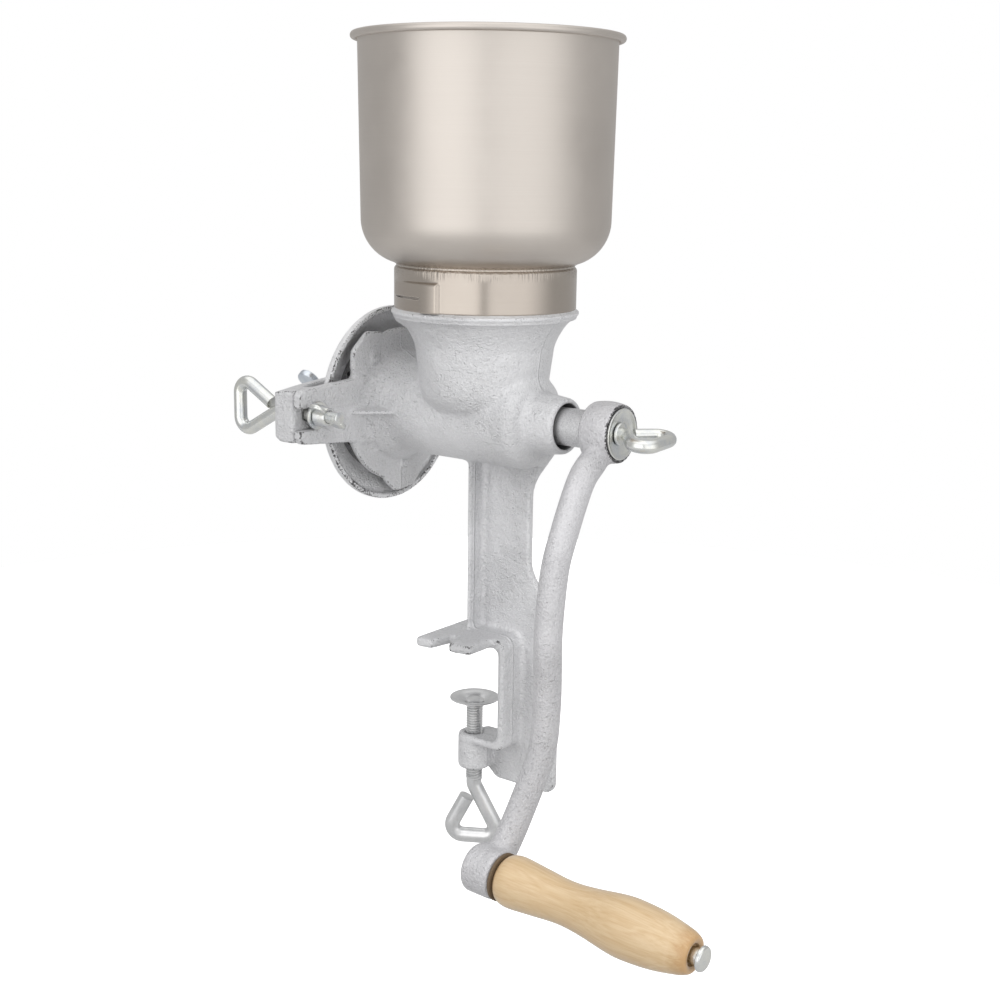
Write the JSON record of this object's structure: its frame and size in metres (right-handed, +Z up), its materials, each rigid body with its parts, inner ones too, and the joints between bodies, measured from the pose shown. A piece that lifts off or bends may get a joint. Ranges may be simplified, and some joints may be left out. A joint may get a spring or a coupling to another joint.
{
  "type": "hand grain mill",
  "caption": "Table clamped hand mill for grain: steel hopper on an iron throat, auger, grinding plates in a yoke, crank with wooden grip.",
  "frame": {"origin": "on the underside of the upper jaw, which stands on the table top, at the clamp screw's axis", "axes": "+Z up, +X along the shaft towards the crank, +Y away from the crank grip at rest"},
  "size_m": [0.3294, 0.188, 0.4384],
  "materials": {
    "casting": "silver grey paint over sand cast iron",
    "hopper_steel": "satin steel sheet",
    "zinc_steel": "bright zinc plating",
    "bare_iron": "bare machined iron",
    "ball_steel": "hardened and polished steel",
    "grip_wood": "clear varnished pale hardwood",
    "fibre": "pressed dark fibre"
  },
  "bodies": {
    "body": {"body_casting": "casting", "fixed_plate": "bare_iron", "fixed_plate_pegs": "casting", "yoke": "casting", "front_eye_bolt": "zinc_steel", "rear_eye_bolt": "zinc_steel"},
    "hopper": {"hopper": "hopper_steel"},
    "ball": {"thrust_ball": "ball_steel"},
    "shaft": {"auger_shaft": "bare_iron", "rotating_disc": "casting", "rotating_plate": "bare_iron", "rotating_plate_pegs": "bare_iron", "drive_pin": "bare_iron", "crank": "casting", "grip_pin": "zinc_steel", "grip_washer": "fibre"},
    "adjuster": {"adjusting_screw": "zinc_steel"},
    "grip": {"grip": "grip_wood"},
    "cup": {"cup_washer": "zinc_steel"},
    "thumb": {"crank_thumb_screw": "zinc_steel"},
    "pad": {"clamp_pad": "zinc_steel"},
    "clamp": {"clamp_screw": "zinc_steel"},
    "front_washer": {"front_bolt_washer": "zinc_steel"},
    "front_nut": {"front_wing_nut": "zinc_steel"},
    "rear_washer": {"rear_bolt_washer": "zinc_steel"},
    "rear_nut": {"rear_wing_nut": "zinc_steel"}
  },
  "joints": [
    {"name": "gap_slide", "type": "slide", "parent": "body", "child": "ball", "axis": [1, 0, 0], "range_m": [-0.003, 0]},
    {"name": "adjust_turn", "type": "hinge", "parent": "ball", "child": "adjuster", "pos_m": [-0.07976, 0, 0.124], "axis": [1, 0, 0], "range_deg": [-725, 5]},
    {"name": "crank_turn", "type": "hinge", "parent": "ball", "child": "shaft", "pos_m": [-0.07976, 0, 0.124], "axis": [1, 0, 0], "continuous": true},
    {"name": "grip_spin", "type": "hinge", "parent": "shaft", "child": "grip", "pos_m": [0.08275, -0.09312, -0.07753], "axis": [0.9995, -0.0139, -0.0301], "continuous": true},
    {"name": "cup_slide", "type": "slide", "parent": "shaft", "child": "cup", "axis": [1, 0, 0], "range_m": [0, 0.003]},
    {"name": "thumb_turn", "type": "hinge", "parent": "cup", "child": "thumb", "pos_m": [0.0915, 0, 0.124], "axis": [1, 0, 0], "range_deg": [-5, 869]},
    {"name": "clamp_slide", "type": "slide", "parent": "body", "child": "pad", "axis": [0, 0, 1], "range_m": [-0.0135, 0.006]},
    {"name": "clamp_turn", "type": "hinge", "parent": "pad", "child": "clamp", "pos_m": [0, 0, -0.054], "axis": [0, 0, 1], "range_deg": [-3245, 1445]},
    {"name": "front_washer_slide", "type": "slide", "parent": "body", "child": "front_washer", "axis": [1, 0, 0], "range_m": [0, 0.006]},
    {"name": "front_nut_turn", "type": "hinge", "parent": "front_washer", "child": "front_nut", "pos_m": [-0.05, -0.068, 0.1258], "axis": [1, 0, 0], "range_deg": [-5, 2165]},
    {"name": "rear_washer_slide", "type": "slide", "parent": "body", "child": "rear_washer", "axis": [1, 0, 0], "range_m": [0, 0.006]},
    {"name": "rear_nut_turn", "type": "hinge", "parent": "rear_washer", "child": "rear_nut", "pos_m": [-0.05, 0.068, 0.1258], "axis": [1, 0, 0], "range_deg": [-5, 2165]},
    {"name": "hopper_twist", "type": "hinge", "parent": "body", "child": "hopper", "pos_m": [0.004, 0, 0.19], "axis": [0, 0, 1], "range_deg": [-28, 0]}
  ],
  "couplings": [
    {"joint": "adjust_turn", "follows": "gap_slide", "rad_per_m": 4188.8},
    {"joint": "thumb_turn", "follows": "cup_slide", "rad_per_m": 5026.5},
    {"joint": "clamp_turn", "follows": "clamp_slide", "rad_per_m": 4188.8},
    {"joint": "front_nut_turn", "follows": "front_washer_slide", "rad_per_m": 6283.2},
    {"joint": "rear_nut_turn", "follows": "rear_washer_slide", "rad_per_m": 6283.2}
  ]
}
